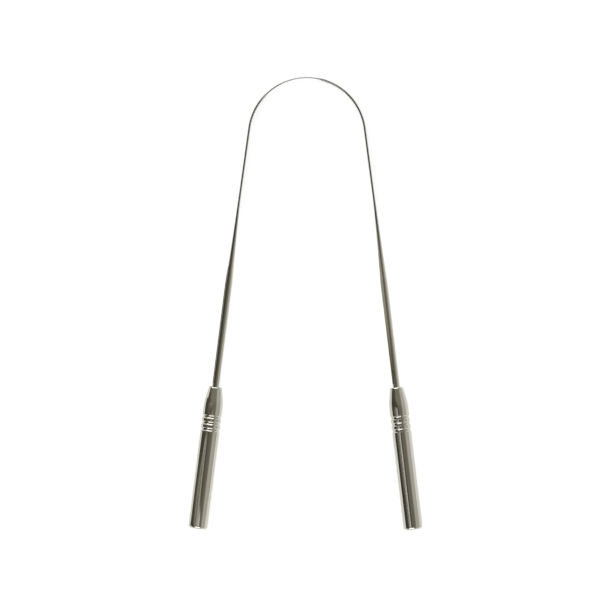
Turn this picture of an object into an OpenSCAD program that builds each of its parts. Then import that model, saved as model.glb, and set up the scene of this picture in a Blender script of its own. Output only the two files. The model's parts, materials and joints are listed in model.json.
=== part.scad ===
// Tongue scraper. One stainless wire is rolled flat in its middle, bent into a loop and left round at
// both ends, and each end is seated in a turned bar handle with a tapered neck and grip grooves.
// It lies flat on its two handles. +X is to the right, +Y runs from the handles to the loop, +Z is up.
// The origin is under the middle of its outline, on the surface it lies on.

/* [Loop blade] */
// Radius of the loop, to the middle of the strip
loop_r = 19.3; // [16:0.1:24]
// Thickness of the rolled strip
blade_t = 0.7; // [0.4:0.05:0.9]
// Width of the rolled strip, from one scraping edge to the other
blade_w = 6.0; // [5:0.1:6.3]
// Length of each flat arm below the loop
flat_length = 22.8; // [18:0.1:34]
// Outward lean of the flat arms, in degrees
flat_lean = 7.7; // [5:0.1:10]

/* [Round arms] */
// Diameter of the wire
rod_d = 2.4; // [2.2:0.05:2.8]
// Length over which the round wire flattens into the strip
taper_length = 29.0; // [18:0.1:34]
// How slowly the taper starts to thicken: 1 is a straight wedge
taper_power = 1.4; // [1:0.1:2]
// Length of the soft bend at the top of the taper
settle_length = 6; // [2:0.5:15]
// Length of round arm that shows above each handle
rod_length = 34.7; // [20:0.1:45]
// Outward lean of the round arms and the handles, in degrees
rod_lean = 7.0; // [5:0.1:10]

/* [Handles] */
// Diameter of the handle bar
handle_d = 6.35; // [5.8:0.05:8]
// Length of each handle
handle_length = 47.4; // [42:0.1:60]
// Diameter of the neck where the wire goes in
neck_d = 4.3; // [4:0.05:4.8]
// Angle between the neck's cone and its axis, in degrees
neck_angle = 10.8; // [8:0.1:15]
// Radius of the curve that blends the cone into the bar
shoulder_r = 18; // [6:0.5:24]
// Rounding of the lip at the neck end
lip_r = 0.5; // [0.1:0.05:0.6]
// Rounding of the free end
end_r = 0.9; // [0.3:0.05:1.5]

/* [Grip grooves] */
// Number of grooves on each handle
groove_count = 3; // [1:1:6]
// Plain bar between the end of the neck and the middle of the first groove
groove_land = 3.0; // [1:0.1:8]
// Distance from groove to groove
groove_pitch = 2.1; // [1.4:0.1:3]
// Width of a groove at the bar's surface
groove_w = 1.2; // [0.6:0.05:1.3]
// Depth of a groove
groove_depth = 0.3; // [0.1:0.02:0.4]
// Rounding of a groove's edges
groove_edge_r = 0.15; // [0.05:0.05:0.3]

/* [Seats] */
// Length of wire seated in each handle
tang_length = 15; // [8:0.5:20]
// Gap between the wire and the wall of its bore
bore_gap = 0.02; // [0.01:0.01:0.06]
// Room left past the end of the wire
tang_end_gap = 0.4; // [0.1:0.1:1]
// Countersink at the mouth of the bore
mouth_chamfer = 0.15; // [0.05:0.05:0.2]
// Half angle of the drill point at the bottom of the bore, in degrees
drill_half_angle = 59; // [45:1:75]

/* [Hidden] */

steel_colour = [0.74, 0.73, 0.70];

// Segments on a full circle of the loop, the bars and the strip's edges
$fn = 96;
loop_segments = 240;
shoulder_segments = 360;
edge_segments = 48;

// Overrun of cuts past the surface that they open
overrun = 0.5;
// Angle by which each half of the loop passes the crown into the other half
crown_lap = 2;
// Length by which the taper runs on inside the strip and inside the round wire
seam_lap = 0.3;
// Depth of the taper's skin below the rolled form, so that it meets the strip and the wire from inside
seam_step = 0.01;

// Rings along the taper, and sides round it (an even number)
ring_count = 22;
side_count = 24;

rod_r = rod_d / 2;
handle_r = handle_d / 2;
neck_r = neck_d / 2;
axis_z = max(handle_d, blade_w) / 2;

// Unit vectors in plan, for the right arm: down along it, and out from the middle across it
function heading(lean) = [sin(lean), -cos(lean)];
function outward(lean) = [cos(lean), sin(lean)];

// Plan of the right arm, measured from the centre of the loop
flat_top = loop_r * outward(flat_lean);
taper_top = flat_top + flat_length * heading(flat_lean);

// The taper's centre line turns from the strip's lean to the wire's lean, in short straight steps
ring_step = taper_length / ring_count;
function lean_at(s) =
    s < settle_length ? flat_lean + (rod_lean - flat_lean) * s / settle_length : rod_lean;
function step_after(i) = ring_step * heading(lean_at((i + 1 / 2) * ring_step));
taper_line = [for (i = 0, p = taper_top; i <= ring_count; p = p + step_after(i), i = i + 1) p];

rod_top = taper_line[ring_count];
neck_top = rod_top + rod_length * heading(rod_lean);
handle_bottom = neck_top + handle_length * heading(rod_lean);

// The outline runs from the crown's outside to the lower corner of the handles' rounded ends
crown_y = loop_r + blade_t / 2;
corner_centre = handle_bottom - (handle_r - end_r) * outward(rod_lean) - end_r * heading(rod_lean);
lowest_y = corner_centre.y - end_r;
middle_y = (crown_y + lowest_y) / 2;

// Rolling: the wire thins steadily to the strip's thickness, and while its metal is squeezed
// lengthwise its area falls evenly with the thickness, so the width follows from the area
function stadium_area(t, w) = t * (w - t) + PI * t * t / 4;
strip_area = stadium_area(blade_t, blade_w);
wire_area = PI * rod_r * rod_r;
function thickness_at(s) = blade_t + (rod_d - blade_t) * pow(s / taper_length, taper_power);
function area_at(t) = strip_area + (wire_area - strip_area) * (t - blade_t) / (rod_d - blade_t);
function width_at(t) = t + (area_at(t) - PI * t * t / 4) / t;

// Points round a stadium of thickness t and width w: half circles on both edges of a flat band
function stadium_points(t, w) = [
    for (k = [0 : side_count - 1])
        let (a = (k + 1 / 2) * 360 / side_count)
        [t / 2 * cos(a), t / 2 * sin(a) + sign(sin(a)) * (w - t) / 2]
];

// One ring of the taper at plan point p, square to the lean
function ring_points(p, lean, t, w) = [
    for (q = stadium_points(t - 2 * seam_step, w - 2 * seam_step))
        [p.x + q[0] * outward(lean).x, p.y + q[0] * outward(lean).y, q[1]]
];

// The neck's cone, the blend and the grooves, as radius against distance from the neck end
largest_blend_share = 0.8;
blend_r = min(shoulder_r, largest_blend_share * (handle_r - neck_r) / (1 - cos(neck_angle)));
cone_end_r = handle_r - blend_r * (1 - cos(neck_angle));
cone_end = (cone_end_r - neck_r) / tan(neck_angle);
shoulder_end = cone_end + blend_r * sin(neck_angle);
lip_centre_r = neck_r - lip_r * (1 - sin(neck_angle)) / cos(neck_angle);
groove_arc_r = (groove_w * groove_w / 4 + groove_depth * groove_depth) / (2 * groove_depth);
function groove_middle(i) = shoulder_end + groove_land + i * groove_pitch;

// Each edge of a groove is a small arc that touches the bar's surface and the groove's own arc. Its
// centre is edge_reach from the groove's middle, and the two arcs meet at meet_reach, meet_r.
edges_to_centre = groove_arc_r + groove_edge_r;
edge_rise = edges_to_centre - groove_depth;
edge_reach = sqrt(edges_to_centre * edges_to_centre - edge_rise * edge_rise);
meet_reach = edge_reach * groove_arc_r / edges_to_centre;
meet_r = handle_r - groove_edge_r + groove_edge_r * edge_rise / edges_to_centre;

// Bore that the end of the wire is seated in
bore_r = rod_r + bore_gap;
bore_depth = tang_length + tang_end_gap;

// Section of the rolled strip
module strip_section() {
    square([blade_t, blade_w - blade_t], center = true);
    for (side = [-1, 1])
        translate([0, side * (blade_w - blade_t) / 2])
            circle(d = blade_t, $fn = edge_segments);
}

// Stretch where the round wire flattens into the strip
module taper() {
    rings = concat(
        [ring_points(taper_top - seam_lap * heading(flat_lean), flat_lean, blade_t, blade_w)],
        [
            for (i = [1 : ring_count - 1])
                let (t = thickness_at(i * ring_step))
                ring_points(taper_line[i], lean_at(i * ring_step), t, width_at(t))
        ],
        [ring_points(rod_top + seam_lap * heading(rod_lean), rod_lean, rod_d, rod_d)]
    );
    last = len(rings) - 1;
    walls = [
        for (i = [0 : last - 1], k = [0 : side_count - 1])
            let (
                a = i * side_count + k,
                b = i * side_count + (k + 1) % side_count,
                c = a + side_count,
                d = b + side_count
            )
            each [[a, c, b], [b, c, d]]
    ];
    low = last * side_count;
    top_cap = [for (k = [1 : side_count - 2]) [0, k, k + 1]];
    bottom_cap = [for (k = [1 : side_count - 2]) [low, low + k + 1, low + k]];
    polyhedron(points = [for (ring = rings) each ring], faces = concat(walls, top_cap, bottom_cap));
}

// Right half of the bow, from just past the crown to the end of the seated wire
module half_bow() {
    rotate([0, 0, flat_lean]) {
        rotate_extrude(angle = 90 - flat_lean + crown_lap, $fn = loop_segments)
            translate([loop_r, 0])
                strip_section();
        translate([loop_r, 0, 0])
            rotate([90, 0, 0])
                linear_extrude(flat_length)
                    strip_section();
    }
    taper();
    translate([rod_top.x, rod_top.y, 0])
        rotate([90, 0, rod_lean])
            cylinder(h = rod_length + tang_length, r = rod_r);
}

// Radius profile of a handle, with the neck end at the bottom
module handle_profile() {
    difference() {
        union() {
            translate([lip_centre_r, lip_r])
                circle(r = lip_r);
            polygon([
                [0, 0],
                [lip_centre_r, 0],
                [lip_centre_r + lip_r * cos(neck_angle), lip_r - lip_r * sin(neck_angle)],
                [cone_end_r, cone_end],
                [0, cone_end]
            ]);
            intersection() {
                translate([handle_r - blend_r, shoulder_end])
                    circle(r = blend_r, $fn = shoulder_segments);
                translate([0, cone_end])
                    square([handle_r, shoulder_end - cone_end]);
            }
            translate([0, shoulder_end])
                square([handle_r, handle_length - end_r - shoulder_end]);
            square([handle_r - end_r, handle_length]);
            translate([handle_r - end_r, handle_length - end_r])
                circle(r = end_r);
        }
        for (i = [0 : groove_count - 1])
            translate([0, groove_middle(i)])
                groove_profile();
        bore_profile();
    }
}

// What a groove cuts away: a round hollow that opens between two rounded edges
module groove_profile() {
    translate([handle_r - groove_depth + groove_arc_r, 0])
        circle(r = groove_arc_r);
    difference() {
        polygon([
            [meet_r, -meet_reach],
            [handle_r, -edge_reach],
            [handle_r + overrun, -edge_reach],
            [handle_r + overrun, edge_reach],
            [handle_r, edge_reach],
            [meet_r, meet_reach]
        ]);
        for (side = [-1, 1])
            translate([handle_r - groove_edge_r, side * edge_reach])
                circle(r = groove_edge_r);
    }
}

// Blind bore with a countersunk mouth and a drill point
module bore_profile() {
    translate([0, -overrun])
        square([bore_r, bore_depth + overrun]);
    polygon([
        [0, -overrun],
        [bore_r + mouth_chamfer + overrun, -overrun],
        [bore_r, mouth_chamfer],
        [0, mouth_chamfer]
    ]);
    polygon([
        [0, bore_depth],
        [bore_r, bore_depth],
        [0, bore_depth + bore_r / tan(drill_half_angle)]
    ]);
}

// A turned handle, seated on the right arm's wire
module seated_handle() {
    translate([neck_top.x, neck_top.y, 0])
        rotate([90, 0, rod_lean])
            rotate_extrude()
                handle_profile();
}

// Moves what is drawn about the loop's centre into the part's own frame
module in_frame() {
    translate([0, -middle_y, axis_z])
        children();
}

module scraper_bow() {
    color(steel_colour)
        in_frame() {
            half_bow();
            mirror([1, 0, 0])
                half_bow();
        }
}

module right_handle() {
    color(steel_colour)
        in_frame()
            seated_handle();
}

module left_handle() {
    color(steel_colour)
        in_frame()
            mirror([1, 0, 0])
                seated_handle();
}

scraper_bow();
left_handle();
right_handle();
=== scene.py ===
"""Looks of a stainless steel tongue scraper: a wire bow rolled flat at its loop, and two turned handles."""

import json
import math

import bpy
import numpy as np
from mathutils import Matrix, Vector


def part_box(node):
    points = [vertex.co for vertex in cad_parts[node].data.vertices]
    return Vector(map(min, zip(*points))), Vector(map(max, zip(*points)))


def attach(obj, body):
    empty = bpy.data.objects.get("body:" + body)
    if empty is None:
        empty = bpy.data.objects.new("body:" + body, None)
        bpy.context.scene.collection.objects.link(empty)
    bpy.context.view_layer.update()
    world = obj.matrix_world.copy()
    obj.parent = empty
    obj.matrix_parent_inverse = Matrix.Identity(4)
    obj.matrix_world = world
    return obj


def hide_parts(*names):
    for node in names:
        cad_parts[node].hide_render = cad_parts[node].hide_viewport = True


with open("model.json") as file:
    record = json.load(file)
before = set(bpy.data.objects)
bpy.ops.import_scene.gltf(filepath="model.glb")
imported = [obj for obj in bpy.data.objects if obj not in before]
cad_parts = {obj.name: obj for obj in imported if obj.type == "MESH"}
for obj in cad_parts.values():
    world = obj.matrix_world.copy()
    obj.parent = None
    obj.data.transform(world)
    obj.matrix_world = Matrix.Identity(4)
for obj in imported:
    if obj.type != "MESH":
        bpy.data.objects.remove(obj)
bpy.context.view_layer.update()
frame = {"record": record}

bl_info = {
    "name": "Tongue scraper",
    "version": (1, 0, 0),
    "blender": (4, 5, 0),
    "location": "3D View > Sidebar > Scraper",
    "description": "Builds the polished steel bow, the two bar handles and a plain studio",
    "category": "Object",
}

# The unit that sizes are given in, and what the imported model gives
MM = 0.001
MOUNTS = {mount["name"]: mount for mount in frame["record"]["mounts"]}
GRIP = MOUNTS["right_grip"]
BOW_LOW, BOW_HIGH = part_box("scraper_bow")
BOW_MIDDLE_Z = (BOW_LOW.z + BOW_HIGH.z) / 2
HANDLE_LOW, HANDLE_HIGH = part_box("right_handle")
HANDLE_MIDDLE_Z = (HANDLE_LOW.z + HANDLE_HIGH.z) / 2
ROD_LEAN = math.asin(GRIP["axis"][0])
BODY = "root"

# Names of the attributes that the materials read. The second says where the steel is darkened as painted
# shade.
GRAIN = "grain"
PAINTED_SHADE = "painted_shade"
GLOW = "glow"

# Rings along each half of the bow, in order from the crown, and points round each ring
BOW_STEPS = {"loop": 96, "flat": 14, "taper": 60, "wire": 18, "seated": 8}
BOW_SIDES = 48

# Points along each part of a handle's profile, before shared ends are dropped, and points round each ring.
# A groove's are for one pitch.
HANDLE_STEPS = {
    "lip": 10,
    "cone": 12,
    "shoulder": 24,
    "land": 4,
    "groove": 96,
    "bar": 30,
    "end": 20,
    "face": 7,
}
HANDLE_SIDES = 112

# The bore ends in the cone of a drill. Its last ring lies just short of the drill's point, and the free
# end's last ring near its middle, as shares of the bore's radius and of the bar's.
DRILL_HALF_ANGLE = math.radians(59)
POINT_RING_BACK = 0.05
POINT_RING_RADIUS = 0.08
FACE_RING_RADIUS = 0.1

# Edges that turn by more than this stay sharp
SHARP_ANGLE = math.radians(40)

# Fineness of the streaks and of the waves in the steel, per metre along the grain and across it
WIRE_STREAKS = (90.0, 5200.0, 5200.0)
WIRE_WAVES = (55.0, 420.0, 420.0)
BAR_STREAKS = (160.0, 3000.0, 3000.0)
BAR_WAVES = (60.0, 420.0, 420.0)

# Fineness of the steel's patches per metre, and the levels between which each comes in. The last levels are
# those of the attribute between which the painted shade comes in.
CLOUD_SCALE = 90.0
CLOUD_LEVELS = (0.42, 0.68)
BLUSH_SCALE = 230.0
BLUSH_LEVELS = (0.5, 0.62)
PAINTED_SHADE_LEVELS = (0.2, 1.0)

# The most that a patch's colour or the painted shade's colour covers, and how much roughness varies over the
# streaks
PATCH_SHARE = 0.6
PAINTED_SHADE_SHARE = 0.8
STREAK_ROUGHNESS = 0.06

# Tints of what the steel reflects: where the room is dark, where it is half bright, and the floor
WHITE = (1.0, 1.0, 1.0)
DARK_TINT = (1.0, 0.93, 0.70)
HALF_TINT = (1.0, 0.975, 0.86)
FLOOR_TINT = (1.0, 0.985, 0.91)

# The floor's own colour, and the glow that the camera sees on it and that reflections see
FLOOR_COLOUR = (0.8, 0.8, 0.8)
FLOOR_GLOW_SEEN = 0.66
FLOOR_GLOW_REFLECTED = 0.49

# Levels of the reflected room: overhead, and what is added ahead and to the right and by the panel past the
# free ends, or taken to the left, there more where it is also ahead. The last is the light on the floor.
ROOM_LEVEL = 0.19
AHEAD_LEVEL = 0.06
RIGHT_LEVEL = 0.345
LEFT_LEVEL = 0.125
LEFT_AHEAD_LEVEL = 0.04
PANEL_LEVEL = 2.9
WORLD_LIGHT = 0.45

# Where the parts of the room lie, by the direction from the object. The right part's edge bends with the
# square of y, and the left part's edge slants. The panel lies between two slopes of x against y, from its
# foot, which comes in between two levels, to its top.
SOFT_EDGE = 0.15
AHEAD_EDGE = 0.25
RIGHT_BEND = 0.35
RIGHT_LEVELS = (0.48, 0.76)
RIGHT_END = 0.62
LEFT_SLANT = 0.9
LEFT_EDGE = 0.3
LEFT_AHEAD_EDGE = 0.3
PANEL_SLOPES = (1.05, 0.45)
PANEL_FOOT = (0.28, 0.4)
PANEL_TOP = 0.82

# The lamp's side and place in metres and its power in watts, and how far the camera sees
LAMP_SIZE = 1.2
LAMP_POWER = 3.0
LAMP_PLACE = (-0.3, 0.4, 1.2)
CAMERA_REACH = 20.0

# Level cards overhead, in metres. Each is given by its places across and by how far it reaches towards the
# free ends (near) and towards the loop (far) at each of them, with the glow there. A card made for one
# piece is seen by no other.
OVERHEAD_CARDS = {
    "softbox": {
        "height": 0.13,
        "across": (-0.206, -0.112, -0.056, -0.022, -0.012),
        "near": (-0.11,) * 5,
        "far": (-0.041,) * 5,
        "glow": (0.0, 0.17, 0.68, 0.72, 0.70),
        "piece": None,
    },
    "left_softbox": {
        "height": 0.13,
        "across": (-0.95, -0.34, -0.23, -0.165, -0.13, -0.10, -0.067, -0.04),
        "near": (0.008, -0.043, -0.056, *(-0.11,) * 5),
        "far": (0.024, -0.028, -0.038, -0.033, -0.036, -0.040, -0.043, -0.044),
        "glow": (0.05, 0.12, 0.27, 0.39, 0.43, 0.42, 0.12, 0.0),
        "piece": "steel_left_handle",
    },
    "left_neck_card": {
        "height": 0.13,
        "across": (-0.33, -0.20, -0.14, -0.10, -0.07, -0.055),
        "near": (-0.007, -0.020, -0.0275, -0.031, -0.033, -0.034),
        "far": (0.045, 0.020, 0.008, 0.0, -0.008, -0.012),
        "glow": (0.045, 0.06, 0.11, 0.15, 0.12, 0.0),
        "piece": "steel_left_handle",
    },
    "flag": {
        "height": 0.039,
        "across": (-0.046, -0.042, -0.037, -0.032, -0.0155),
        "near": (-0.061, -0.067, -0.0693, -0.072, -0.072),
        "far": (-0.040,) * 5,
        "glow": (0.07, 0.09, 0.12, 0.15, 0.19),
        "piece": None,
    },
}

# Upright cards beside the arms, in metres. Each stands on places given as distances from the neck towards
# the loop and from the arm outwards, between two heights, with the glow at each place. Side is 1 for the
# right arm and -1 for the left one.
ARM_CARDS = {
    "groove_card": {
        "side": -1,
        "places": ((0.013, -0.012), (0.013, 0.030)),
        "heights": (0.015, 0.026),
        "glow": (3.9, 3.9),
        "piece": "steel_left_handle",
    },
    "right_mouth_card": {
        "side": 1,
        "places": ((0.0025, -0.0025), (0.0025, 0.0016)),
        "heights": (0.005, 0.0075),
        "glow": (3.5, 3.5),
        "piece": "steel_right_handle",
    },
    "left_handle_flag": {
        "side": -1,
        "places": ((-0.052, 0.020), (0.0, 0.020)),
        "heights": (0.0, 0.006),
        "glow": (0.08, 0.08),
        "piece": None,
    },
    "right_handle_flag": {
        "side": 1,
        "places": ((-0.052, -0.008), (-0.013, -0.008)),
        "heights": (0.0049, 0.0066),
        "glow": (0.02, 0.02),
        "piece": None,
    },
    "left_rod_flag": {
        "side": -1,
        "places": ((0.001, 0.0031), (0.040, 0.0031)),
        "heights": (0.0, 0.0036),
        "glow": (0.08, 0.08),
        "piece": None,
    },
    "right_rod_flag": {
        "side": 1,
        "places": ((0.001, -0.006), (0.014, -0.006), (0.022, -0.005), (0.045, -0.005)),
        "heights": (0.0, 0.0036),
        "glow": (0.08, 0.10, 0.30, 0.30),
        "piece": None,
    },
    "right_rod_card": {
        "side": 1,
        "places": ((0.006, -0.003), (0.018, -0.003), (0.036, -0.003), (0.055, -0.003)),
        "heights": (0.0037, 0.0105),
        "glow": (0.05, 0.25, 0.36, 0.15),
        "piece": "steel_bow",
    },
}

# Cards round the loop, each between two rails. A rail has a radius in metres round the loop's centre, and
# a height in metres at each bearing, in degrees clockwise from the crown. The two at the crown stand inside
# and outside the strip: its sides reflect them, and its middle reflects the dim room between them. The arc
# card lies over the strip right of the crown, and the one on the floor is for the strip's inner face.
CROWN_BEARINGS = (-52, -44, -36, -30, -24, 0, 8, 13.5)
CROWN_CARD_FOOT = (0.0062,) * len(CROWN_BEARINGS)
CROWN_GLOW = (1.2, 2.2, *(2.6,) * 5, 2.2)
CROWN_FLOOR_BEARINGS = tuple(range(-48, 17, 4))
CROWN_FLOOR_HEIGHTS = (0.0004,) * len(CROWN_FLOOR_BEARINGS)
LOOP_CARDS = {
    "inner_crown_card": {
        "bearings": CROWN_BEARINGS,
        "radii": (0.0093, 0.0093),
        "heights": (CROWN_CARD_FOOT, (0.0110, 0.0122, 0.0116, 0.0116, 0.0145, 0.0145, 0.0150, 0.0126)),
        "glow": CROWN_GLOW,
        "piece": None,
    },
    "outer_crown_card": {
        "bearings": CROWN_BEARINGS,
        "radii": (0.0293, 0.0293),
        "heights": (CROWN_CARD_FOOT, (0.0110, 0.0122, 0.0122, 0.0126, 0.0170, 0.0205, 0.0195, 0.0130)),
        "glow": CROWN_GLOW,
        "piece": None,
    },
    "arc_card": {
        "bearings": (13.5, 24, 33),
        "radii": (0.0033, 0.0353),
        "heights": ((0.012,) * 3, (0.012,) * 3),
        "glow": (0.5, 0.56, 0.34),
        "piece": None,
    },
    "crown_floor_card": {
        "bearings": CROWN_FLOOR_BEARINGS,
        "radii": (0.0183, 0.0189),
        "heights": (CROWN_FLOOR_HEIGHTS, CROWN_FLOOR_HEIGHTS),
        "glow": (0.0, 0.45, *(0.9,) * 13, 0.45, 0.0),
        "piece": "steel_bow",
    },
}


# Sizes, colours and settings that a user may change
def length_property(name, description, default):
    """A length in metres, shown in the scene's own unit."""
    return bpy.props.FloatProperty(
        name=name, description=description, default=default, min=0.0, precision=5, unit="LENGTH"
    )


def place_property(name, description, default):
    """A place along an axis, in metres, on either side of the origin."""
    return bpy.props.FloatProperty(
        name=name, description=description, default=default, precision=5, unit="LENGTH"
    )


def angle_property(name, description, default):
    """An angle, kept in radians and shown in degrees."""
    return bpy.props.FloatProperty(name=name, description=description, default=default, unit="ROTATION")


def share_property(name, description, default):
    """A number from 0 to 1."""
    return bpy.props.FloatProperty(
        name=name, description=description, default=default, min=0.0, max=1.0, subtype="FACTOR"
    )


def colour_property(name, description, default):
    """A linear colour."""
    return bpy.props.FloatVectorProperty(
        name=name, description=description, default=default, size=3, min=0.0, max=1.0, subtype="COLOR"
    )


class BowSizes(bpy.types.PropertyGroup):
    """Sizes of the wire bow, from the crown of its loop to the ends of the wire in the handles."""

    loop_r: length_property("Loop radius", "Radius of the loop to the middle of the strip", 19.3 * MM)
    blade_t: length_property("Strip thickness", "Thickness of the rolled strip", 0.7 * MM)
    blade_w: length_property("Strip width", "Width of the rolled strip", BOW_HIGH.z - BOW_LOW.z)
    flat_length: length_property("Flat arm", "Length of each flat arm below the loop", 22.8 * MM)
    flat_lean: angle_property("Flat lean", "Outward lean of the flat arms", math.radians(7.7))
    rod_d: length_property("Wire diameter", "Diameter of the round wire", 2.4 * MM)
    taper_length: length_property("Taper", "Length over which the wire flattens", 29.0 * MM)
    taper_power: bpy.props.FloatProperty(
        name="Taper power", description="How slowly the taper starts to thicken", default=1.4, min=1.0
    )
    settle_length: length_property("Settling", "Length of the soft bend where the taper starts", 6.0 * MM)
    rod_length: length_property("Round arm", "Length of round arm above each handle", 34.7 * MM)
    rod_lean: angle_property("Wire lean", "Outward lean of the wire and the handles", ROD_LEAN)
    tang_length: length_property("Seated wire", "Length of wire seated in each handle", 15.0 * MM)


class HandleSizes(bpy.types.PropertyGroup):
    """Sizes of a turned bar handle, measured along it from the neck end."""

    radius: length_property("Bar radius", "Radius of the plain bar", GRIP["dims"]["r_mm"] * MM)
    length: length_property("Length", "Length of the handle", 47.4 * MM)
    neck_r: length_property("Neck radius", "Radius of the neck end", 2.15 * MM)
    neck_angle: angle_property("Neck angle", "Half angle of the neck's cone", math.radians(10.8))
    shoulder_r: length_property("Shoulder", "Radius of the curve from cone to bar", 18.0 * MM)
    lip_r: length_property("Lip", "Rounding of the lip at the neck end", 0.5 * MM)
    end_r: length_property("End rounding", "Rounding of the free end", 0.9 * MM)
    groove_count: bpy.props.IntProperty(name="Grooves", description="Grip grooves", default=3, min=1)
    groove_land: length_property("Land", "Plain bar before the first groove's middle", 3.0 * MM)
    groove_pitch: length_property("Pitch", "Distance from groove to groove", 2.1 * MM)
    groove_w: length_property("Groove width", "Width of a groove at the surface", 1.2 * MM)
    groove_depth: length_property("Groove depth", "Depth of a groove", 0.3 * MM)
    groove_edge_r: length_property("Groove edge", "Rounding of a groove's edges", 0.15 * MM)
    bore_gap: length_property("Bore gap", "Gap between the wire and its bore", 0.02 * MM)
    bore_depth: length_property("Bore depth", "Depth of the blind bore", 15.4 * MM)
    mouth_chamfer: length_property("Countersink", "Countersink at the bore's mouth", 0.15 * MM)


class SteelFinish(bpy.types.PropertyGroup):
    """Colour and polish of the stainless steel, and the darker colours painted as shade in the grooves and
    on the strip.
    """

    colour: colour_property("Steel", "Colour of clean polished steel", (0.65, 0.641, 0.59))
    cloud_colour: colour_property("Clouding", "Colour where the polish is duller", (0.60, 0.60, 0.54))
    # Painted shade: the bottoms of the grooves are painted this darker colour
    groove_shade_colour: colour_property("Hollows", "Colour at the bottom of the grooves", (0.55, 0.535, 0.49))
    # Painted shade: the rolled strip is painted darker and greyer than the wire, for how dim its edge
    # reflects
    strip_shade_colour: colour_property("Strip", "Colour of the rolled strip", (0.39, 0.395, 0.41))
    blush_colour: colour_property("Blush", "Colour of the faint warm patches", (0.65, 0.617, 0.585))
    polish: share_property("Roughness", "Roughness of the polished surface", 0.09)
    cloud_roughness: share_property("Cloud roughness", "Added roughness where it is duller", 0.05)
    streak_depth: length_property("Streak depth", "Depth of the fine lengthwise streaks", 0.0004 * MM)
    wave_depth: length_property("Wave depth", "Depth of the polisher's soft waves", 0.006 * MM)


class StageSettings(bpy.types.PropertyGroup):
    """The camera and the floor."""

    view_width: length_property("Picture width", "Width of the picture at the handles", 199.0 * MM)
    view_x: place_property("Aim X", "Where the camera aims across the object", -2.1 * MM)
    view_y: place_property("Aim Y", "Where the camera aims along the object", 1.1 * MM)
    roll: angle_property("Roll", "Turn of the camera round its line of sight", math.radians(0.22))
    distance: length_property("Distance", "Distance from the camera to the handles", 1.8)
    floor_size: length_property("Floor size", "Side of the square floor", 12.0)


# Shader trees and the steel
class Link:
    """One output of a shader tree. Arithmetic on it adds Math nodes to the same tree."""

    def __init__(self, tree, socket):
        self.tree = tree
        self.socket = socket

    def maths(self, operation, first, second):
        """A Math node of two values, each a Link or a number."""
        return self.tree.add("ShaderNodeMath", {"operation": operation}, {0: first, 1: second})

    def __add__(self, other):
        return self.maths("ADD", self, other)

    def __radd__(self, other):
        return self.maths("ADD", other, self)

    def __sub__(self, other):
        return self.maths("SUBTRACT", self, other)

    def __rsub__(self, other):
        return self.maths("SUBTRACT", other, self)

    def __mul__(self, other):
        return self.maths("MULTIPLY", self, other)

    def __rmul__(self, other):
        return self.maths("MULTIPLY", other, self)


class ShaderTree:
    """A material's or world's node tree, emptied and filled again node by node."""

    def __init__(self, owner):
        owner.use_nodes = True
        self.nodes = owner.node_tree.nodes
        self.links = owner.node_tree.links
        self.nodes.clear()

    def add(self, kind, settings=None, sockets=None, output=0):
        """Adds a node of a kind, sets its settings, then feeds its sockets with values or Links, and gives
        one output, by its name or its number."""
        node = self.nodes.new(kind)
        for name, value in (settings or {}).items():
            setattr(node, name, value)
        for name, value in (sockets or {}).items():
            if isinstance(value, Link):
                self.links.new(value.socket, node.inputs[name])
            else:
                node.inputs[name].default_value = value
        return Link(self, node.outputs[output]) if node.outputs else None

    def mixed(self, factor, first, second):
        """The colour that is first where factor is 0 and second where it is 1. A Mix node has sockets of the
        same name for each kind of value, and its colours are inputs 6 and 7 and output 2."""
        settings = {"data_type": "RGBA", "clamp_factor": True}
        return self.add("ShaderNodeMix", settings, {0: factor, 6: first, 7: second}, output=2)

    def scaled(self, vector, factors):
        """The vector with each of its parts multiplied by its own factor."""
        return self.add("ShaderNodeVectorMath", {"operation": "MULTIPLY"}, {0: vector, 1: factors})

    def noise(self, vector, scale=1.0, detail=2.0, roughness=0.5):
        """Noise from 0 to 1 at the vector."""
        values = {"Vector": vector, "Scale": scale, "Detail": detail, "Roughness": roughness}
        return self.add("ShaderNodeTexNoise", None, values)

    def stepped(self, value, low, high):
        """0 below low, 1 above high and smooth between them."""
        settings = {"interpolation_type": "SMOOTHSTEP"}
        return self.add("ShaderNodeMapRange", settings, {"Value": value, "From Min": low, "From Max": high})

    def ray(self, kind):
        """1 for rays of a kind, such as Camera or Glossy, and 0 for the others."""
        return self.add("ShaderNodeLightPath", output=f"Is {kind} Ray")


def opaque(colour):
    """The colour with full alpha, as a colour socket takes it."""
    return (*colour, 1.0)


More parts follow.
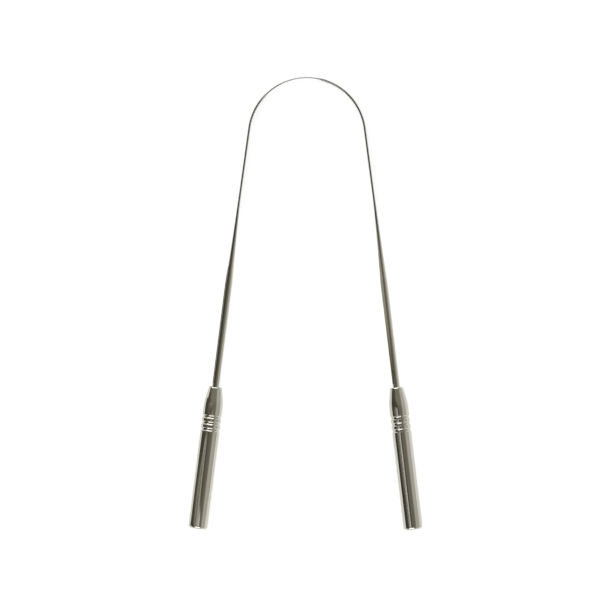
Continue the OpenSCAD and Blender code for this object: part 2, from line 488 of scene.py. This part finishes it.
def steel_material(name, finish, shaded_colour, streaks, waves):
    """Polished stainless steel. The grain attribute gives metres along the piece and across it. Streaks
    are noise stretched along the grain, waves are slow noise that bends the reflections, and clouds are
    patches where the polish is a little duller. A faint blush varies the colour, and a point attribute
    darkens it towards the second colour given, as painted shade in the grooves' hollows and on the strip."""
    material = bpy.data.materials.new(name)
    tree = ShaderTree(material)
    grain = tree.add("ShaderNodeAttribute", {"attribute_name": GRAIN}, output="Vector")
    painted_shade = tree.add("ShaderNodeAttribute", {"attribute_name": PAINTED_SHADE}, output="Fac")
    place = tree.add("ShaderNodeTexCoord", output="Object")
    streak = tree.noise(tree.scaled(grain, streaks), detail=4.0, roughness=0.6)
    wave = tree.noise(tree.scaled(grain, waves), detail=1.0)
    cloud = tree.stepped(tree.noise(place, scale=CLOUD_SCALE, detail=5.0), *CLOUD_LEVELS)
    blush = tree.stepped(tree.noise(place, scale=BLUSH_SCALE, detail=2.0), *BLUSH_LEVELS)
    colour = tree.mixed(PATCH_SHARE * cloud, opaque(finish.colour), opaque(finish.cloud_colour))
    colour = tree.mixed(PATCH_SHARE * blush, colour, opaque(finish.blush_colour))
    # Painted shade: the colour darkens towards the shade colour where the attribute is high
    colour = tree.mixed(tree.stepped(painted_shade, *PAINTED_SHADE_LEVELS) * PAINTED_SHADE_SHARE, colour, opaque(shaded_colour))
    rough = finish.polish + finish.cloud_roughness * cloud + STREAK_ROUGHNESS * (streak - 0.5)
    waved = tree.add(
        "ShaderNodeBump", None, {"Strength": 1.0, "Distance": finish.wave_depth, "Height": wave}
    )
    streaked = tree.add(
        "ShaderNodeBump",
        None,
        {"Strength": 1.0, "Distance": finish.streak_depth, "Height": streak, "Normal": waved},
    )
    shader = tree.add(
        "ShaderNodeBsdfPrincipled",
        None,
        {"Base Color": colour, "Metallic": 1.0, "Roughness": rough, "Normal": streaked},
    )
    tree.add("ShaderNodeOutputMaterial", None, {"Surface": shader})
    return material


# Surfaces of the pieces
def skin(rings):
    """Closed surface over a stack of rings: a quad between each pair of neighbours along and round the
    stack, and a fan of triangles from the first and the last ring to its own middle point."""
    count, sides = rings.shape[:2]
    index = np.arange(count * sides).reshape(count, sides)
    beside = np.roll(index, -1, axis=1)
    quads = np.stack([index[:-1], beside[:-1], beside[1:], index[1:]], axis=-1).reshape(-1, 4)
    first = np.stack([beside[0], index[0], np.full(sides, count * sides)], axis=-1)
    last = np.stack([index[-1], beside[-1], np.full(sides, count * sides + 1)], axis=-1)
    points = np.vstack([rings.reshape(-1, 3), rings[[0, -1]].mean(axis=1)])
    return points, quads, np.vstack([first, last])


def with_ends(values):
    """Ring values as one row per vertex, with the end rings' means for the two middle points."""
    flat = values.reshape(-1, *values.shape[2:])
    return np.concatenate([flat, values[[0, -1]].mean(axis=1)])


def make_piece(name, rings, grain, painted_shade, material, node):
    """Makes the mesh of a piece from its rings, with its grain attribute and the attribute that masks its
    painted shade, turns its faces outwards, and lets it stand for its CAD node. The faces point inwards
    where the triangles, each with the origin a small tetrahedron, sum to a negative volume."""
    points, quads, triangles = skin(rings)
    corners = points[np.vstack([quads[:, :3], quads[:, [0, 2, 3]], triangles])]
    volume = np.einsum("ij,ij->", corners[:, 0], np.cross(corners[:, 1], corners[:, 2]))
    if volume < 0:
        quads = quads[:, ::-1]
        triangles = triangles[:, ::-1]
    mesh = bpy.data.meshes.new(name)
    mesh.from_pydata(points, [], quads.tolist() + triangles.tolist())
    mesh.polygons.foreach_set("use_smooth", np.ones(len(mesh.polygons), bool))
    mesh.set_sharp_from_angle(angle=SHARP_ANGLE)
    mesh.attributes.new(GRAIN, "FLOAT_VECTOR", "POINT").data.foreach_set("vector", with_ends(grain).ravel())
    mesh.attributes.new(PAINTED_SHADE, "FLOAT", "POINT").data.foreach_set("value", with_ends(painted_shade).ravel())
    mesh.materials.append(material)
    piece = bpy.data.objects.new(name, mesh)
    bpy.context.scene.collection.objects.link(piece)
    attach(piece, BODY)
    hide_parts(node)


def bow_stations(sizes):
    """Distances from the crown down the right arm to the end of each part, then the distances between which
    the lean runs evenly, and the leans there: the loop turns steadily from level to the flat arm's lean,
    the flat arm is straight, and the settling bend turns to the wire's lean."""
    loop_end = sizes.loop_r * (math.pi / 2 - sizes.flat_lean)
    flat_end = loop_end + sizes.flat_length
    taper_end = flat_end + sizes.taper_length
    neck = taper_end + sizes.rod_length
    tip = neck + sizes.tang_length
    turns = [0.0, loop_end, flat_end, flat_end + sizes.settle_length, tip]
    leans = [math.pi / 2, sizes.flat_lean, sizes.flat_lean, sizes.rod_lean, sizes.rod_lean]
    return {"loop": loop_end, "flat": flat_end, "taper": taper_end, "neck": neck, "tip": tip}, turns, leans


def right_arm_path(sizes, distances):
    """Plan points in metres, and leans, of the right arm at rising distances from the crown. Between two
    distances the lean changes evenly, so the path there is an arc whose chord is the distance times the
    sine of half the turn over half the turn, along the mean lean."""
    turns, leans = bow_stations(sizes)[1:]
    lean = np.interp(distances, turns, leans)
    middle = (lean[1:] + lean[:-1]) / 2
    chord = np.diff(distances) * np.sinc(np.diff(lean) / 2 / np.pi)
    steps = np.stack([np.sin(middle), -np.cos(middle)], axis=-1) * chord[:, None]
    crown = np.array([0.0, MOUNTS["hang_loop"]["pos_m"][1] + sizes.blade_t / 2])
    return crown + np.vstack([np.zeros(2), np.cumsum(steps, axis=0)]), lean


def neck_place(sizes):
    """Plan place where the wire enters the right handle's neck."""
    stations, turns, _ = bow_stations(sizes)
    return right_arm_path(sizes, np.array([*turns[:-1], stations["neck"]]))[0][-1]


def rolled_sizes(sizes, distances, flat_end):
    """Thickness and width of the wire at each distance. The thickness grows with a power of the distance
    into the taper, the area runs evenly with the thickness between the strip's and the wire's, and the
    width is that of the round-edged band with that thickness and area."""
    share = np.clip((distances - flat_end) / sizes.taper_length, 0, 1) ** sizes.taper_power
    thick = sizes.blade_t + (sizes.rod_d - sizes.blade_t) * share
    strip_area = sizes.blade_t * (sizes.blade_w - sizes.blade_t) + math.pi * sizes.blade_t**2 / 4
    area = strip_area + (math.pi * sizes.rod_d**2 / 4 - strip_area) * share
    return thick, thick + (area - math.pi * thick**2 / 4) / thick


def band_section(thick, wide, sides):
    """Across and up offsets round each ring of a band with round edges. A share of each side's points,
    which falls to none where the band is a circle, lies on the straight part; the rest go round the edges
    at even angles. The smallest flatness only keeps a circle's unused level from dividing by zero."""
    turn = (np.arange(sides) + 0.5) * 2 * np.pi / sides
    fold = np.abs((turn + np.pi / 2) % np.pi - np.pi / 2)
    flatness = np.sqrt(np.clip((wide - thick) / wide, 0, 1))[:, None] * np.pi / 4
    level = fold / np.maximum(flatness, 1e-9)
    round_part = (fold - flatness) / (np.pi / 2 - flatness) * np.pi / 2
    on_flat = fold < flatness
    edge = np.where(on_flat, 0.0, round_part)
    rise = np.where(on_flat, level, 1.0)
    across = np.sign(np.cos(turn)) * np.cos(edge) * thick[:, None] / 2
    up = np.sin(edge) * thick[:, None] / 2 + rise * (wide - thick)[:, None] / 2
    return across, np.sign(np.sin(turn)) * up


def bow_rings(sizes):
    """Rings of the whole bow from the left tip over the crown to the right tip, their grain, and the mask of
    their painted shade, which is 1 on the strip and falls to 0 on the wire. The left half mirrors the right
    one, and each ring stands square to the path."""
    stations = bow_stations(sizes)[0]
    marks = [0.0, *stations.values()]
    counts = BOW_STEPS.values()
    parts = [np.linspace(a, b, n, endpoint=False) for a, b, n in zip(marks, marks[1:], counts)]
    half = np.concatenate([*parts, marks[-1:]])
    plan, lean = right_arm_path(sizes, half)
    thick, wide = rolled_sizes(sizes, half, stations["flat"])
    across, up = band_section(thick, wide, BOW_SIDES)
    out = np.stack([np.cos(lean), np.sin(lean)], axis=-1)
    right = np.empty((len(half), BOW_SIDES, 3))
    right[..., :2] = plan[:, None] + across[..., None] * out[:, None]
    right[..., 2] = BOW_MIDDLE_Z + up
    left = right[:0:-1] * np.array([-1.0, 1.0, 1.0])
    grain = np.stack([np.broadcast_to(half[:, None], across.shape), across, up], axis=-1)
    mirrored = grain[:0:-1] * np.array([-1.0, 1.0, 1.0])
    # Painted shade mask: full on the flat strip, none on the round wire
    flat = (sizes.rod_d - thick) / (sizes.rod_d - sizes.blade_t)
    painted_shade = np.broadcast_to(np.concatenate([flat[:0:-1], flat])[:, None], (2 * len(half) - 1, BOW_SIDES))
    return np.concatenate([left, right]), np.concatenate([mirrored, grain]), painted_shade


def arc(centre, radius, start, end, count):
    """Points of an arc as distance and radius pairs, between two angles measured from the handle's axis."""
    angle = np.linspace(start, end, count)
    return np.stack([centre[0] + radius * np.cos(angle), centre[1] + radius * np.sin(angle)], axis=-1)


def groove_dip(distance, middle, sizes):
    """Depth of a groove at each distance. Its hollow is an arc of the groove's width and depth, and where
    that arc touches a small edge arc, the edge carries it up to the bar's surface."""
    depth = sizes.groove_depth
    edge_r = sizes.groove_edge_r
    hollow_r = (sizes.groove_w**2 / 4 + depth**2) / (2 * depth)
    between = hollow_r + edge_r
    reach = math.sqrt(between**2 - (between - depth) ** 2)
    aside = np.abs(distance - middle)
    hollow = depth - hollow_r + np.sqrt(np.clip(hollow_r**2 - aside**2, 0, None))
    edge = edge_r - np.sqrt(np.clip(edge_r**2 - (reach - aside) ** 2, 0, None))
    return np.where(aside < reach * hollow_r / between, hollow, np.where(aside < reach, edge, 0.0))


def handle_profile(sizes, wire_r):
    """Profile of a handle as distance and radius pairs, from the bottom of its bore out of the neck and
    along the outside to the middle of the free end, and how deep in a groove each point lies, which masks
    the painted shade in the grooves. The lip is an arc that touches the neck's end and the cone, the
    shoulder an arc that touches the cone and the bar, and the grooves are taken off the bar's radius."""
    steps = HANDLE_STEPS
    tilt = sizes.neck_angle
    cone_end_r = sizes.radius - sizes.shoulder_r * (1 - math.cos(tilt))
    cone_end = (cone_end_r - sizes.neck_r) / math.tan(tilt)
    shoulder_end = cone_end + sizes.shoulder_r * math.sin(tilt)
    lip_y = sizes.neck_r - sizes.lip_r * (1 - math.sin(tilt)) / math.cos(tilt)
    bore_r = wire_r + sizes.bore_gap
    drill_tip = sizes.bore_depth + bore_r / math.tan(DRILL_HALF_ANGLE)
    bore = np.array([
        [drill_tip - POINT_RING_BACK * bore_r, POINT_RING_RADIUS * bore_r],
        [sizes.bore_depth, bore_r],
        [sizes.bore_depth / 2, bore_r],
        [sizes.mouth_chamfer, bore_r],
        [0.0, bore_r + sizes.mouth_chamfer],
    ])
    lip = arc((sizes.lip_r, lip_y), sizes.lip_r, math.pi, math.pi / 2 + tilt, steps["lip"])
    cone = np.linspace(lip[-1], [cone_end, cone_end_r], steps["cone"])[1:]
    shoulder_middle = (shoulder_end, sizes.radius - sizes.shoulder_r)
    shoulder = arc(
        shoulder_middle, sizes.shoulder_r, math.pi / 2 + tilt, math.pi / 2, steps["shoulder"]
    )[1:]
    first = shoulder_end + sizes.groove_land
    middles = first + sizes.groove_pitch * np.arange(sizes.groove_count)
    ribs_end = middles[-1] + sizes.groove_pitch / 2
    ribs = np.linspace(
        first - sizes.groove_pitch / 2, ribs_end, steps["groove"] * sizes.groove_count + 1
    )
    land = np.linspace(shoulder_end, ribs[0], steps["land"])[1:-1]
    bar = np.linspace(ribs_end, sizes.length - sizes.end_r, steps["bar"])[1:-1]
    along = np.concatenate([land, ribs, bar])
    plain = np.stack([along, np.full(len(along), sizes.radius)], axis=-1)
    end_middle = (sizes.length - sizes.end_r, sizes.radius - sizes.end_r)
    end = arc(end_middle, sizes.end_r, math.pi / 2, 0.0, steps["end"])
    face_edge = [sizes.length, sizes.radius - sizes.end_r]
    face = np.linspace(face_edge, [sizes.length, FACE_RING_RADIUS * sizes.radius], steps["face"])[1:]
    profile = np.concatenate([bore, lip, cone, shoulder, plain, end, face])
    dip = sum(groove_dip(along, middle, sizes) for middle in middles)
    depth = np.zeros(len(profile))
    start = len(bore) + len(lip) + len(cone) + len(shoulder)
    depth[start : start + len(along)] = dip
    profile[:, 1] -= depth
    return profile, depth / sizes.groove_depth


def handle_rings(profile, painted_shade, neck, along):
    """Rings of a handle, their grain and the mask of their painted shade: its profile turned round the axis
    that starts at the neck and runs along."""
    turn = np.arange(HANDLE_SIDES) * 2 * np.pi / HANDLE_SIDES
    up = np.array([0.0, 0.0, 1.0])
    aside = np.cross(along, up)
    spoke = np.cos(turn)[:, None] * up + np.sin(turn)[:, None] * aside
    rings = neck + profile[:, :1, None] * along + profile[:, 1:, None] * spoke
    shape = (len(profile), HANDLE_SIDES)
    grain = np.empty((*shape, 3))
    grain[..., 0] = profile[:, :1]
    grain[..., 1] = profile[:, 1:] * np.cos(turn)
    grain[..., 2] = profile[:, 1:] * np.sin(turn)
    return rings, grain, np.broadcast_to(painted_shade[:, None], shape)


class SCRAPER_OT_bow(bpy.types.Operator):
    """Makes the wire bow: the rolled strip loop, the tapers and the round arms"""

    bl_idname = "scraper.bow"
    bl_label = "Make the bow"

    def execute(self, context):
        rings, grain, painted_shade = bow_rings(context.scene.scraper_bow)
        finish = context.scene.scraper_finish
        # Steel of the bow, with painted shade on the rolled strip
        steel = steel_material("wire_steel", finish, finish.strip_shade_colour, WIRE_STREAKS, WIRE_WAVES)
        make_piece("steel_bow", rings, grain, painted_shade, steel, "scraper_bow")
        return {"FINISHED"}


class SCRAPER_OT_handles(bpy.types.Operator):
    """Makes the two turned bar handles on the ends of the wire"""

    bl_idname = "scraper.handles"
    bl_label = "Make the handles"

    def execute(self, context):
        scene = context.scene
        bow = scene.scraper_bow
        neck_x, neck_y = neck_place(bow)
        profile, depth = handle_profile(scene.scraper_handles, bow.rod_d / 2)
        finish = scene.scraper_finish
        # Steel of the handles, with painted shade in the grooves' hollows
        steel = steel_material("bar_steel", finish, finish.groove_shade_colour, BAR_STREAKS, BAR_WAVES)
        for side, word in ((1, "right"), (-1, "left")):
            neck = np.array([side * neck_x, neck_y, HANDLE_MIDDLE_Z])
            along = np.array([side * math.sin(bow.rod_lean), -math.cos(bow.rod_lean), 0.0])
            rings, grain, painted_shade = handle_rings(profile, depth, neck, along)
            make_piece(f"steel_{word}_handle", rings, grain, painted_shade, steel, f"{word}_handle")
        return {"FINISHED"}


# The stage: a plain floor, the cards, the world, a lamp and the camera
def floor_material():
    """White floor that keeps a soft shadow: plain diffuse white, with a glow that only the camera,
    reflections and transmission see, so that the lit floor reaches white. In reflections the glow is
    slightly warm."""
    material = bpy.data.materials.new("white_floor")
    tree = ShaderTree(material)
    camera, glossy, through = (tree.ray(kind) for kind in ("Camera", "Glossy", "Transmission"))
    level = FLOOR_GLOW_SEEN * camera + FLOOR_GLOW_REFLECTED * (glossy + through)
    colour = tree.mixed(glossy, opaque(WHITE), opaque(FLOOR_TINT))
    plain = tree.add("ShaderNodeBsdfDiffuse", None, {"Color": opaque(FLOOR_COLOUR)})
    glow = tree.add("ShaderNodeEmission", None, {"Color": colour, "Strength": level})
    both = tree.add("ShaderNodeAddShader", None, {0: plain, 1: glow})
    tree.add("ShaderNodeOutputMaterial", None, {"Surface": both})
    return material


def card_material(name, clear):
    """Material of the cards: each glows as its glow attribute says, in the room's tint. A clear card adds
    its glow to what is behind it."""
    material = bpy.data.materials.new(name)
    tree = ShaderTree(material)
    level = tree.add("ShaderNodeAttribute", {"attribute_name": GLOW}, output="Fac")
    glow = tree.add("ShaderNodeEmission", None, {"Color": room_tint(tree, level), "Strength": level})
    if clear:
        glow = tree.add("ShaderNodeAddShader", None, {0: glow, 1: tree.add("ShaderNodeBsdfTransparent")})
    tree.add("ShaderNodeOutputMaterial", None, {"Surface": glow})
    return material


def make_card(name, first, second, glow, material, piece=None):
    """A card that only reflections see: quads between two rails of points, in metres, with the glow at
    each pair of points. A card made for one piece is seen by no other."""
    count = len(first)
    quads = [(i, i + 1, count + i + 1, count + i) for i in range(count - 1)]
    card = make_stage_piece(name, [*first, *second], quads, material)
    values = np.concatenate([glow, glow])
    card.data.attributes.new(GLOW, "FLOAT", "POINT").data.foreach_set("value", values)
    card.visible_camera = False
    card.visible_diffuse = False
    card.visible_shadow = False
    if piece:
        seen_by = bpy.data.collections.new(f"{name}_seen_by")
        seen_by.objects.link(bpy.data.objects[piece])
        card.light_linking.receiver_collection = seen_by


def room_tint(tree, level):
    """Colour of a part of the room by its level: warm at 0, less so at a half, and white from 1 up."""
    warm = tree.mixed(2 * level, opaque(DARK_TINT), opaque(HALF_TINT))
    return tree.mixed(2 * level - 1, warm, opaque(WHITE))


def end_panel(tree, x, near, z):
    """1 on the panel past the free ends and 0 round it, with soft edges. Near is how far a direction points
    towards those ends."""
    left_edge, right_edge = PANEL_SLOPES
    beside = tree.stepped(x + left_edge * near, 0.0, SOFT_EDGE)
    beside = beside * tree.stepped(right_edge * near - x, 0.0, SOFT_EDGE)
    return beside * tree.stepped(PANEL_TOP - z, 0.0, SOFT_EDGE) * tree.stepped(z, *PANEL_FOOT)


def make_stage_piece(name, points, faces, material):
    """A stage piece, which isn't part of the object."""
    mesh = bpy.data.meshes.new(name)
    mesh.from_pydata(points, [], faces)
    mesh.materials.append(material)
    piece = bpy.data.objects.new(name, mesh)
    bpy.context.scene.collection.objects.link(piece)
    return piece


def studio_world():
    """World that the camera sees as white, that lights the floor evenly, and that the steel reflects as
    a room: dim overhead and a little brighter ahead, dark to the left, half bright to the right, with a
    bright panel past the free ends."""
    world = bpy.data.worlds.new("studio")
    bpy.context.scene.world = world
    tree = ShaderTree(world)
    direction = tree.add("ShaderNodeTexCoord", output="Generated")
    x, y, z = (tree.add("ShaderNodeSeparateXYZ", None, {0: direction}, output=axis) for axis in "XYZ")
    ahead = tree.stepped(y, 0.0, AHEAD_EDGE)
    right = tree.stepped(x + RIGHT_BEND * y * y, *RIGHT_LEVELS) * tree.stepped(RIGHT_END - y, 0.0, SOFT_EDGE)
    left = tree.stepped(-1 * x - LEFT_SLANT * y, 0.0, LEFT_EDGE + LEFT_AHEAD_EDGE * ahead)
    panel = end_panel(tree, x, -1 * y, z)
    level = ROOM_LEVEL + AHEAD_LEVEL * ahead + RIGHT_LEVEL * right
    level = level - (LEFT_LEVEL + LEFT_AHEAD_LEVEL * ahead) * left + PANEL_LEVEL * panel
    camera, glossy = tree.ray("Camera"), tree.ray("Glossy")
    seen = camera + glossy * level + WORLD_LIGHT * (1 - camera - glossy)
    colour = tree.mixed(glossy, opaque(WHITE), room_tint(tree, level))
    glow = tree.add("ShaderNodeBackground", None, {"Color": colour, "Strength": seen})
    tree.add("ShaderNodeOutputWorld", None, {"Surface": glow})


def make_overhead_card(name, card, material):
    """A level card at one height, between its near and far ends at each place across."""
    near, far = (
        [(x, y, card["height"]) for x, y in zip(card["across"], card[end])] for end in ("near", "far")
    )
    make_card(name, near, far, card["glow"], material, card["piece"])


def make_arm_card(name, card, neck, material):
    """A card beside an arm, standing along its places between two heights."""
    towards = np.array([-card["side"] * math.sin(ROD_LEAN), math.cos(ROD_LEAN)])
    outwards = np.array([card["side"] * math.cos(ROD_LEAN), math.sin(ROD_LEAN)])
    start = neck * np.array([card["side"], 1.0])
    feet = [start + ahead * towards + aside * outwards for ahead, aside in card["places"]]
    low, high = ([(*foot, height) for foot in feet] for height in card["heights"])
    make_card(name, low, high, card["glow"], material, card["piece"])


def make_loop_card(name, card, centre_y, material):
    """A card round part of the loop, between its two rails."""
    turn = np.radians(card["bearings"])
    rails = [
        np.stack([radius * np.sin(turn), centre_y + radius * np.cos(turn), heights], axis=-1)
        for radius, heights in zip(card["radii"], card["heights"])
    ]
    make_card(name, *rails, card["glow"], material, card["piece"])


def make_cards(bow):
    """The cards that the polished steel reflects."""
    solid = card_material("card_glow", False)
    clear = card_material("clear_glow", True)
    for name, card in OVERHEAD_CARDS.items():
        make_overhead_card(name, card, clear if card["piece"] else solid)
    for name, card in ARM_CARDS.items():
        make_arm_card(name, card, neck_place(bow), clear if card["piece"] else solid)
    loop_centre_y = MOUNTS["hang_loop"]["pos_m"][1] + bow.blade_t / 2 - bow.loop_r
    for name, card in LOOP_CARDS.items():
        make_loop_card(name, card, loop_centre_y, clear if card["piece"] else solid)


def make_floor(size):
    """A square floor under the object."""
    half = size / 2
    corners = [(-half, -half, 0), (half, -half, 0), (half, half, 0), (-half, half, 0)]
    make_stage_piece("floor", corners, [(0, 1, 2, 3)], floor_material())


def make_lamp():
    """A large soft lamp turned towards the object, which reflections don't see."""
    lamp = bpy.data.objects.new("lamp", bpy.data.lights.new("lamp", "AREA"))
    lamp.data.size = LAMP_SIZE
    lamp.data.energy = LAMP_POWER
    lamp.location = LAMP_PLACE
    lamp.rotation_euler = Vector(LAMP_PLACE).to_track_quat("Z", "Y").to_euler()
    lamp.visible_glossy = False
    bpy.context.scene.collection.objects.link(lamp)


def make_camera(settings):
    """A camera that looks straight down, with the picture's width measured at the handles."""
    camera = bpy.data.objects.new("camera", bpy.data.cameras.new("camera"))
    camera.location = (settings.view_x, settings.view_y, HANDLE_MIDDLE_Z + settings.distance)
    camera.rotation_euler = (0.0, 0.0, settings.roll)
    camera.data.lens = camera.data.sensor_width * settings.distance / settings.view_width
    camera.data.clip_end = CAMERA_REACH
    bpy.context.scene.collection.objects.link(camera)
    return camera


class SCRAPER_OT_stage(bpy.types.Operator):
    """Makes the floor, the reflected cards, the world, the lamp and the camera"""

    bl_idname = "scraper.stage"
    bl_label = "Make the stage"

    def execute(self, context):
        settings = context.scene.scraper_stage
        make_floor(settings.floor_size)
        make_cards(context.scene.scraper_bow)
        studio_world()
        make_lamp()
        context.scene.camera = make_camera(settings)
        context.scene.view_settings.view_transform = "Standard"
        return {"FINISHED"}


# The sidebar panel, and what registers and runs it all
class SCRAPER_PT_panel(bpy.types.Panel):
    """The scraper's sizes and the buttons that make it"""

    bl_idname = "SCRAPER_PT_panel"
    bl_label = "Tongue scraper"
    bl_space_type = "VIEW_3D"
    bl_region_type = "UI"
    bl_category = "Scraper"

    def draw(self, context):
        groups = (
            ("scraper_bow", "scraper.bow"),
            ("scraper_handles", "scraper.handles"),
            ("scraper_finish", None),
            ("scraper_stage", "scraper.stage"),
        )
        for name, operator in groups:
            box = self.layout.box()
            group = getattr(context.scene, name)
            for key in group.bl_rna.properties.keys():
                if key not in ("rna_type", "name"):
                    box.prop(group, key)
            if operator:
                box.operator(operator)


GROUPS = {
    "scraper_bow": BowSizes,
    "scraper_handles": HandleSizes,
    "scraper_finish": SteelFinish,
    "scraper_stage": StageSettings,
}
CLASSES = (*GROUPS.values(), SCRAPER_OT_bow, SCRAPER_OT_handles, SCRAPER_OT_stage, SCRAPER_PT_panel)


def register():
    """Registers the classes and gives every scene its groups of settings."""
    for cls in CLASSES:
        bpy.utils.register_class(cls)
    for name, group in GROUPS.items():
        setattr(bpy.types.Scene, name, bpy.props.PointerProperty(type=group))


def unregister():
    """Takes the groups and the classes away again."""
    for name in GROUPS:
        delattr(bpy.types.Scene, name)
    for cls in reversed(CLASSES):
        bpy.utils.unregister_class(cls)


def main():
    """Makes the pieces and the stage."""
    register()
    bpy.ops.scraper.bow()
    bpy.ops.scraper.handles()
    bpy.ops.scraper.stage()


if __name__ == "__main__":
    main()
